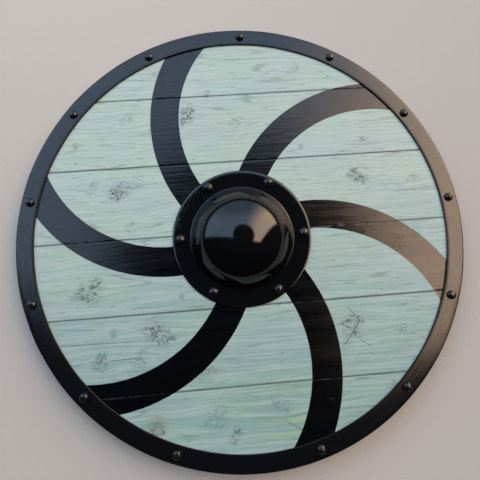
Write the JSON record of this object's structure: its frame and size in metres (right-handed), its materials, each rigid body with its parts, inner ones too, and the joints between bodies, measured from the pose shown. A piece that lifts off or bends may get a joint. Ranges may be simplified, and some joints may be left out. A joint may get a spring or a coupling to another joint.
{
  "type": "wooden round shield",
  "caption": "Round shield of planks painted pale green with black curved arms, in a riveted black steel rim, with a domed black steel boss and a grip bar behind.",
  "frame": {"origin": "under the middle of the disc, at the level of the grip bar's underside, on which the shield lies", "axes": "+Z out of the shield's front, +X along the planks to the right, +Y to the shield's top"},
  "size_m": [0.61, 0.61, 0.0751],
  "materials": {
    "painted_pine": "thin pale green paint over brushed knotty pine, with black painted arms, bare on the back",
    "blackened_steel": "gloss black over rolled sheet steel",
    "bare_pine": "oiled",
    "plain_steel": "dull"
  },
  "bodies": {
    "root": {"plank_1": "painted_pine", "plank_2": "painted_pine", "plank_3": "painted_pine", "plank_4": "painted_pine", "plank_5": "painted_pine", "plank_6": "painted_pine", "rim_band": "blackened_steel", "boss": "blackened_steel", "rim_rivet_1": "blackened_steel", "rim_rivet_2": "blackened_steel", "rim_rivet_3": "blackened_steel", "rim_rivet_4": "blackened_steel", "rim_rivet_5": "blackened_steel", "rim_rivet_6": "blackened_steel", "rim_rivet_7": "blackened_steel", "rim_rivet_8": "blackened_steel", "rim_rivet_9": "blackened_steel", "rim_rivet_10": "blackened_steel", "rim_rivet_11": "blackened_steel", "rim_rivet_12": "blackened_steel", "rim_rivet_13": "blackened_steel", "boss_rivet_1": "blackened_steel", "boss_rivet_2": "blackened_steel", "boss_rivet_3": "blackened_steel", "boss_rivet_4": "blackened_steel", "boss_rivet_5": "blackened_steel", "boss_rivet_6": "blackened_steel", "grip_bar": "bare_pine", "grip_screw_1": "plain_steel", "grip_screw_2": "plain_steel", "grip_screw_3": "plain_steel", "grip_screw_4": "plain_steel", "grip_screw_5": "plain_steel", "grip_screw_6": "plain_steel"}
  },
  "joints": []
}
